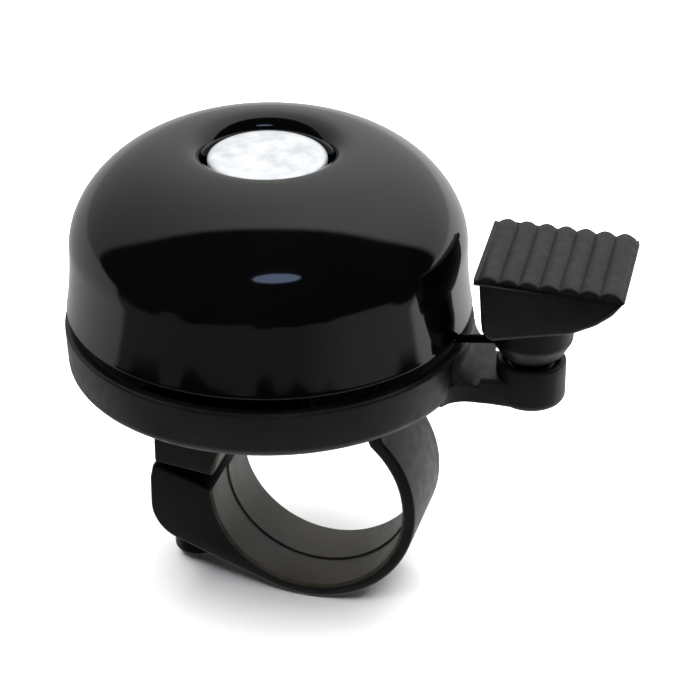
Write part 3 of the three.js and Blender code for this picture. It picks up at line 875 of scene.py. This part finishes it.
@dataclass
class Lever:
    """The thumb lever: a ribbed pad on a skirt, and the barrel that it turns on."""

    pivot: float = 24.7
    left: float = 19.0
    right: float = 35.5
    top: float = 32.25
    fall: float = 0.04
    half: float = 7.0
    lip: float = 0.5
    lip_depth: float = 0.8
    turn: float = 3.5
    ribs: int = 7
    rib_height: float = 0.5
    sweep: tuple[tuple[float, float], ...] = ((29.8, 26.6), (32.4, 27.9), (34.2, 29.3))
    barrel_radius: float = 4.65
    barrel_top: float = 27.4
    spindle: float = 1.75
    spindle_foot: float = 16.6
    screw_hole: float = 1.35
    groove: tuple[float, float] = (2.15, 2.95)
    groove_height: tuple[float, float] = (19.2, 21.15)
    wire_angle: float = 13.0
    wire_height: float = 21.8
    wire_hole: float = 0.8
    crease: float = 34

    def height(self, x: float | Points) -> float | Points:
        """Return the pad's height at x, without its ribs."""
        return self.top + self.fall * ((self.left + self.right) / 2 - x)

    def plate(self) -> Shell:
        """Return the ribbed plate: the ribs are half waves |sin| across the pad."""
        start, pitch = self.left + 0.5, (self.right - self.left - 1) / self.ribs
        phase = np.linspace(0, self.ribs, self.ribs * 14 + 1)[::-1]
        x = start + pitch * phase
        wave = np.stack([x, self.height(x) + self.rib_height * np.abs(np.sin(np.pi * phase))], -1)
        foot_left = (self.left, self.height(self.left) - self.lip_depth)
        foot_right = (self.right, self.height(self.right) - self.lip_depth)
        chamfer = [(self.right, self.height(self.right) - 0.6), (self.right - 0.5, self.height(self.right))]
        ends = rounded([foot_left, foot_right, *chamfer], [0, 0.2, 0.1, 0])
        line = np.vstack([ends[:-1], wave, [(self.left, self.height(self.left))]])
        reach = self.half + self.lip
        return slab(lambda y: line, [-reach, *np.linspace(-6, 6, 7), reach], 0.42)

    def skirt(self) -> Shell:
        """Return the skirt, whose underside sweeps up to the outer end."""
        left, right = self.left + self.lip, self.right - 0.1
        corners = [(left, self.height(left) - 0.3), (left + 0.3, 27.2)]
        corners += [tuple(p) for p in arc((left + 2.0, 26.4), 1.6, 190, 260, 8)]
        corners += [*self.sweep, (right - 0.1, 30.8), (right, self.height(right) - 0.3)]
        radii = [0.0, 0.6, *[0.0] * 8, 3.0, 4.0, 4.0, 1.0, 0.0]
        line = rounded(corners, radii, closed=False)
        return slab(lambda y: line, [-self.half, *np.linspace(-5, 5, 5), self.half], 0.55)

    def barrel(self) -> Shell:
        """Return the barrel, tapered at its foot, with its spindle below."""
        r, top, stem, foot = self.barrel_radius, self.barrel_top, self.spindle, self.spindle_foot
        corners = [(0, foot), (stem, foot), (stem, 20.2), (3.45, 20.2), (r, 22.3), (r, top), (0, top)]
        radii = [0, 0.2, 0.15, 0.35, 1.2, 0.2, 0]
        return revolve(rounded(corners, radii, steps=8), (self.pivot, 0), 80)

    def build(self) -> list[bpy.types.Object]:
        """Join the lever's parts, hollow its foot and dress it."""
        piece = made("lever_moulding", self.skirt().turned(self.turn, self.pivot), self.crease)
        shaped(piece, self.plate().turned(self.turn, self.pivot), Cut.JOIN, self.crease)
        shaped(piece, self.barrel(), Cut.JOIN, self.crease)
        hole = Base().bore(self.screw_hole, 15.6, 27.0, self.pivot)
        (inner, outer), (low, high) = self.groove, self.groove_height
        ring = [(inner, low), (outer, low), (outer, high), (inner, high), (inner, low)]
        groove = revolve(np.array(ring), (self.pivot, 0), 64)
        a = radians(self.wire_angle)
        away = np.array([-cos(a), -sin(a), 0])
        centre = np.array([self.pivot, 0, self.wire_height])
        wire = rod(centre + away * 1.6, centre + away * 8, self.wire_hole, 32)
        for solid in (hole, groove, wire):
            shaped(piece, solid, Cut.AWAY, self.crease)
        pieces = [dressed(piece, NYLON, "lever", "thumb_lever")]
        screw = Screw(self.pivot, 1.25, 2.2, 15.0, 16.2, 25.5, 0.7, 0.6)
        pieces.append(screw.build("pivot_screw", ZINC, "lever"))
        return pieces


@dataclass
class Striker:
    """The spring wire and its brass hammer, and the coil that brings the lever back."""

    pivot: float = 24.7
    angle: float = 13.0
    length: float = 19.0
    wire: float = 0.5
    height: float = 21.8
    hammer: float = 3.0
    hammer_from: float = 20.7
    hammer_to: float = 26.2
    coil: float = 2.55
    coil_wire: float = 0.2
    coil_turns: float = 3.5
    coil_pitch: float = 0.52
    coil_from: float = 17.6

    def along(self, distance: float) -> Points:
        """Return the point at a distance from the pivot's axis along the striker."""
        a = radians(self.angle)
        return np.array([self.pivot - distance * cos(a), -distance * sin(a), self.height])

    def spring(self) -> Shell:
        """Return the coil: a circle carried along a helix, then up its last leg."""
        t = np.linspace(0, 1, 260)
        turn, rise = np.minimum(t / 0.92, 1), np.maximum(t - 0.92, 0) / 0.08
        a = 2 * np.pi * self.coil_turns * turn
        z = self.coil_from + self.coil_pitch * self.coil_turns * turn + 1.2 * rise
        path = np.stack([self.pivot + self.coil * np.cos(a), self.coil * np.sin(a), z], -1)
        tangent = np.gradient(path, axis=0)
        tangent /= np.linalg.norm(tangent, axis=1, keepdims=True)
        out = np.stack([np.cos(a), np.sin(a), np.zeros_like(a)], -1)
        side = np.cross(tangent, out)
        side /= np.linalg.norm(side, axis=1, keepdims=True)
        out = np.cross(side, tangent)
        b = np.linspace(0, 2 * np.pi, 12, endpoint=False)[None, :, None]
        return loft(path[:, None] + self.coil_wire * (np.cos(b) * out[:, None] + np.sin(b) * side[:, None]))

    def build(self) -> list[bpy.types.Object]:
        """Make and dress the wire, the hammer and the coil."""
        wire = made("striker_rod", rod(self.along(1.9), self.along(21.0), self.wire, 32))
        centre = tuple(self.along(self.length)[:2])
        r, low, high = self.hammer, self.hammer_from, self.hammer_to
        corners = [(0, low), (r, low), (r, high), (0, high)]
        weight = made("hammer_turned", revolve(rounded(corners, [0, 0.5, 0.6, 0]), centre, 96))
        shaped(weight, rod(self.along(13), self.along(21.2), self.wire + 0.05, 32), Cut.AWAY)
        coil = made("return_coil", self.spring(), 60)
        return [
            dressed(wire, BLUED, "striker", "striker_wire"),
            dressed(weight, BRASS, "striker", "hammer"),
            dressed(coil, SPRING, "base", "return_spring"),
        ]


@dataclass
class Clamp:
    """The saddle under the base, the hooked strap that closes it, and the screw between them."""

    bore: float = 11.45
    land: float = 11.25
    step: float = -0.6
    outer: float = 13.0
    front: float = -6.4
    rear: float = 6.0
    edge: float = 0.35
    lug_left: float = -18.5
    strap_left: float = -19.15
    corner: float = 4.8
    slope: float = 21.0
    lug_inner: float = -11.0
    foot_outer: float = 2.5
    foot_inner: float = 1.5
    top_outer: float = 2.2
    top_inner: float = -0.3
    boss_foot: float = -9.6
    boss: float = 3.3
    hook: tuple[float, float] = (7.0, 12.12)
    bead: float = 1.3
    socket: float = 1.6
    hook_wall: float = 2.7
    top: float = 14.9
    right: float = 9.7
    screw: float = -15.4
    screw_radius: float = 1.5
    post: float = -6.0
    boss_top: float = -2.3
    nut_half: float = 2.3
    nut: tuple[float, float] = (3.0, 5.4)
    pocket_half: float = 2.45
    pocket: tuple[float, float] = (0.5, 5.7)
    slot: tuple[float, float] = (3.2, -10.6)
    slot_half: float = 1.7

    def stations(self) -> list[float]:
        """Return places along the bar, with a close pair where the bore changes size."""
        return [self.front, self.step - 0.06, self.step + 0.06, self.rear]

    def radius(self, y: float) -> float:
        """Return the bore's radius at a place along the bar."""
        return self.bore if y < self.step else self.land

    def saddle_line(self, y: float) -> Points:
        """Return the saddle's outline: a flat block over the bore, with the hook's socket."""
        r = self.radius(y)
        hook = np.array(self.hook)
        bore = arc((0, 0), r, 180 - degrees(asin((self.foot_inner + 0.12) / r)), 57.8, 56)
        socket = arc(hook, self.socket, 249, -15, 22)
        wall = arc(hook, self.hook_wall, -15, 0, 4)
        corners = rounded(
            [(self.right, self.hook[1]), (self.right, self.top), (self.lug_left, self.top),
             (self.lug_left, self.foot_outer), tuple(bore[0]), tuple(bore[5])],
            [0, 0.4, 0.5, 0.4, 0.5, 0],
        )
        return np.vstack([bore[5:], socket, wall[:-1], corners[:-1]])

    def strap_line(self, y: float) -> Points:
        """Return the strap's outline: lug, thin ring, neck and the round bead it hangs by."""
        r = self.radius(y)
        a = radians(self.slope)
        touch = -self.outer * np.array([sin(a), cos(a)])
        corner_x = self.strap_left + self.corner
        corner_z = touch[1] + ((touch[0] - corner_x) * sin(a) + self.corner) / cos(a)
        ring = arc((0, 0), self.outer, -90 - self.slope, 45, 90)
        bead = arc(self.hook, self.bead, -28.6, 254.7, 28)
        fall = (self.top_outer - self.top_inner) / (self.lug_inner - self.lug_left + 0.1)
        meet = self.top_inner + fall * (r + self.lug_inner)
        bore = arc((0, 0), r, 48.1, -180 - degrees(asin(meet / r)), 120)
        shoulder = self.lug_left - 0.25
        lug = rounded(
            [tuple(bore[-1]), (shoulder, self.top_outer),
             (self.strap_left, 0.2), (self.strap_left, corner_z)],
            [0, 0.4, 0.8, 0],
        )
        heel = arc((corner_x, corner_z), self.corner, 180, 270 - self.slope, 14)
        return np.vstack([ring, bead, bore, lug[1:-1], heel])

    def build(self) -> list[bpy.types.Object]:
        """Make and dress the saddle, the strap and the fasteners."""
        bore = Base().bore
        saddle = made("clamp_upper", slab(self.saddle_line, self.stations(), self.edge), 30)
        half, (low, high) = self.pocket_half, self.pocket
        left, right = self.screw - half, self.screw + half
        pocket = np.array([(left, low), (right, low), (right, high), (left, high)])
        holes = [
            slab(lambda y: pocket, [-half, half], SHARP),
            bore(1.8, 0.5, 11.5, self.screw),
            bore(2.15, 5, self.top + 1, self.post),
            bore(3.9, 5, 12.55, self.post),
        ]
        for solid in holes:
            shaped(saddle, solid, Cut.AWAY, 30)
        strap = made("clamp_lower", slab(self.strap_line, self.stations(), self.edge), 30)
        r, top, foot = self.boss, self.boss_top, self.boss_foot
        boss = rounded([(0, top), (r, top), (r, foot), (0, foot)], [0, 0, 0.4, 0])
        shaped(strap, revolve(boss, (self.screw, 0), 72), Cut.JOIN, 30)
        shaped(strap, self.bore_tool(), Cut.AWAY, 30)
        left, right = self.screw - self.screw_radius, self.screw + 1.85
        top, foot = self.slot
        slot = np.array([(left - 0.85, top), (left - 1.4, foot), (right, foot), (right, top)])
        shaped(strap, slab(lambda y: slot, [-self.slot_half, self.slot_half], SHARP), Cut.AWAY, 30)
        dressed(saddle, NYLON, "base", "clamp_saddle")
        dressed(strap, NYLON, "strap", "clamp_strap")
        return [saddle, strap, *self.fasteners()]

    def bore_tool(self) -> Shell:
        """Return the cutter that keeps the wider front of the bore open where the boss meets it."""
        return rod((0, self.front - 1, 0), (0, self.step, 0), self.bore, 120)

    def fasteners(self) -> list[bpy.types.Object]:
        """Make and dress the clamp's screw, washer and nut, and the base's screw."""
        x, bearing = self.screw, self.boss_foot - 0.3
        screw = Screw(x, self.screw_radius, 2.9, bearing - 2.4, bearing - 0.55, 9.0, 1.1)
        plate = [(1.6, bearing - 0.5), (3.1, bearing - 0.5), (3.1, bearing), (1.6, bearing)]
        ring = rounded(plate, [0.08, 0.15, 0.15, 0.08], closed=True, steps=4)
        washer = made("clamp_washer_pressed", revolve(np.vstack([ring, ring[:1]]), (x, 0), 72))
        half, (low, high) = self.nut_half, self.nut
        corners = [(x - half, low), (x + half, low), (x + half, high), (x - half, high)]
        square = rounded(corners, [0.3] * 4, closed=True)
        nut = made("clamp_nut_square", slab(lambda y: square, [-half, half], 0.25))
        shaped(nut, Base().bore(1.6, 2, 7, x), Cut.AWAY)
        return [
            screw.build("clamp_screw", BLACKED, "tightener"),
            dressed(washer, BLACKED, "tightener", "clamp_washer"),
            dressed(nut, ZINC, "base", "clamp_nut"),
            Screw(self.post, 2.0, 3.1, 10.95, 11.95, 23.5, 0.7).build("base_screw", ZINC, "base"),
        ]


# -------------------------------------------------------------------------- inside and studio


@dataclass
class InnerStack:
    """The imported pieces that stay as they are: the post, the washers and the gong's screw."""

    zinc: tuple[str, ...] = ("gong_post", "gong_screw", "base_washer", "pivot_washer")
    fibre: tuple[str, ...] = ("gong_washer_lower", "gong_washer_upper")
    spring: tuple[str, ...] = ("gong_lock_washer",)

    def build(self) -> list[bpy.types.Object]:
        """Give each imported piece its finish."""
        pieces = []
        for finish, names in ((ZINC, self.zinc), (FIBRE, self.fibre), (SPRING, self.spring)):
            for name in names:
                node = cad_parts[name]
                node.data.materials.clear()
                node.data.materials.append(finish.material())
                pieces.append(node)
        return pieces


@dataclass
class Studio:
    """A pale floor, soft lights and the camera."""

    floor_height: float = -13.2
    floor_size: float = 6000.0
    camera_at: tuple[float, float, float] = (75.7, -263.8, 170.5)
    camera_tilt: float = 60.75
    camera_turn: float = 15.3
    lens: float = 140.6
    sky: tuple[float, float] = (0.55, 0.9)
    ground: tuple[float, float] = (0.45, 0.85)
    near_floor: tuple[float, float] = (0.12, 0.27)
    dark: float = 0.012

    def floor(self) -> bpy.types.Object:
        """Make the floor, white and matt, which shiny things do not mirror."""
        s, z = self.floor_size, self.floor_height
        points = np.array([(-s, -s, z), (s, -s, z), (s, s, z), (-s, s, z)], float)
        mesh = bpy.data.meshes.new("studio_floor")
        mesh.from_pydata((points * MM).tolist(), [], [[0, 1, 2, 3]])
        floor = bpy.data.objects.new("studio_floor", mesh)
        bpy.context.scene.collection.objects.link(floor)
        material = bpy.data.materials.new("white_paper")
        material.use_nodes = True
        shader = material.node_tree.nodes["Principled BSDF"]
        shader.inputs["Base Color"].default_value = linear("#fbfbfb")
        shader.inputs["Roughness"].default_value = 0.95
        shader.inputs["Specular IOR Level"].default_value = 0.1
        mesh.materials.append(material)
        floor.visible_glossy = False
        return floor

    def light(
        self, name: str, at: Sequence[float], size: Sequence[float], power: float,
        mirrored: bool = True, colour: str = "#ffffff",
    ) -> bpy.types.Object:
        """Add a soft oval light that faces the bell.

        Args:
            name: the light's name.
            at: its centre in millimetres.
            size: its width and height in millimetres.
            power: watts.
            mirrored: whether it shows in shiny surfaces.
            colour: its colour.

        Returns:
            The light.
        """
        data = bpy.data.lights.new(name, "AREA")
        data.shape, data.size, data.size_y, data.energy = "ELLIPSE", size[0] * MM, size[1] * MM, power
        data.color = linear(colour)[:3]
        lamp = bpy.data.objects.new(name, data)
        lamp.location = Vector(at) * MM
        aim = Vector((0, 0, 20 * MM)) - lamp.location
        lamp.rotation_euler = aim.to_track_quat("-Z", "Y").to_euler()
        lamp.visible_glossy = mirrored
        bpy.context.scene.collection.objects.link(lamp)
        return lamp

    def world(self) -> None:
        """Set the surroundings: a pale backdrop behind the bell and a dark room in front of it.

        Across the backdrop's edge the brightness is a step in d . f, where d is the direction looked
        in and f points to the backdrop. Below the horizon it is the floor's, as shiny things see it.
        """
        world = bpy.data.worlds.new("studio_air")
        bpy.context.scene.world = world
        world.use_nodes = True
        tree = world.node_tree

        def maths(kind: str, first: object, second: object) -> Socket:
            """Add a two-value Math node and return its result."""
            return add(tree, "ShaderNodeMath", {0: first, 1: second}, operation=kind).outputs[0]

        def step(value: Socket, start: float, end: float, low: float, high: float) -> Socket:
            """Add a smooth step from low to high between start and end."""
            links = {"Value": value, "From Min": start, "From Max": end, "To Min": low, "To Max": high}
            return add(tree, "ShaderNodeMapRange", links, interpolation_type="SMOOTHSTEP").outputs["Result"]

        def towards(direction: tuple[float, float, float]) -> Socket:
            """Return how far the looked-in direction points along another."""
            pair = {0: look, 1: direction}
            return add(tree, "ShaderNodeVectorMath", pair, operation="DOT_PRODUCT").outputs["Value"]

        look = add(tree, "ShaderNodeTexCoord").outputs["Generated"]
        a = radians(self.camera_turn)
        ahead, right, up = towards((-sin(a), cos(a), 0)), towards((cos(a), sin(a), 0)), towards((0, 0, 1))
        # The backdrop narrows towards the horizon: its edge is at d . f = 0.33 (1 - d . z) ** 1.5.
        low = maths("POWER", maths("SUBTRACT", 1.0, step(up, 0.0, 1.0, 0.0, 1.0)), 1.5)
        narrow = maths("MULTIPLY", low, step(up, -0.15, 0.05, 0.0, 0.33))
        behind = step(maths("SUBTRACT", ahead, narrow), -0.05, 0.04, 0.0, 1.0)
        above = step(up, -0.03, 0.03, 0.0, 1.0)
        sky = maths("MULTIPLY", step(up, 0.0, 0.9, *self.sky), step(right, -0.9, 0.3, 0.5, 1.0))
        ground = step(right, -0.7, 0.7, *self.ground)
        back = add(tree, "ShaderNodeMix", {0: above, 2: ground, 3: sky}).outputs[0]
        # The floor in front of the bell ends in an uneven dark edge.
        noise = add(tree, "ShaderNodeTexNoise", {"Vector": look, "Scale": 3.4, "Detail": 0.0}).outputs["Fac"]
        edge = maths("ADD", up, step(noise, 0.3, 0.7, -0.08, 0.08))
        near = step(edge, -0.29, -0.2, step(right, 0.2, 0.8, *self.near_floor), self.dark)
        level = add(tree, "ShaderNodeMix", {0: behind, 2: near, 3: back}).outputs[0]
        # Straight down is bright again: the lit paper under the bell, seen by its lower edges.
        level = maths("MAXIMUM", level, step(up, -0.85, -0.7, 0.55, 0.0))
        background = tree.nodes["Background"]
        background.inputs["Color"].default_value = linear("#fdfcfa")
        tree.links.new(level, background.inputs["Strength"])

    def camera(self) -> bpy.types.Object:
        """Place the camera and make it the scene's."""
        data = bpy.data.cameras.new("camera")
        data.lens, data.sensor_width = self.lens, 36
        data.clip_start, data.clip_end = 0.01, 20
        camera = bpy.data.objects.new("camera", data)
        camera.location = Vector(self.camera_at) * MM
        camera.rotation_euler = (radians(self.camera_tilt), 0, radians(self.camera_turn))
        bpy.context.scene.collection.objects.link(camera)
        bpy.context.scene.camera = camera
        return camera

    def build(self) -> None:
        """Make the whole studio."""
        bpy.context.scene.view_settings.view_transform = "Standard"
        self.floor()
        self.world()
        self.light("ceiling", (0, 0, 1500), (2600, 2600), 95, mirrored=False)
        self.light("window", (157, -402, 447), (250, 90), 0.13, colour="#bcd2ff")
        self.camera()


def main() -> None:
    """Build the bell and its studio."""
    logging.basicConfig(level=logging.INFO, format="%(name)s %(message)s")
    for part in (Gong(), Base(), Lever(), Striker(), Clamp(), InnerStack()):
        for piece in part.build():
            LOG.info("%s made by %s", piece.name, type(part).__name__)
    Studio().build()


if __name__ == "__main__":
    main()
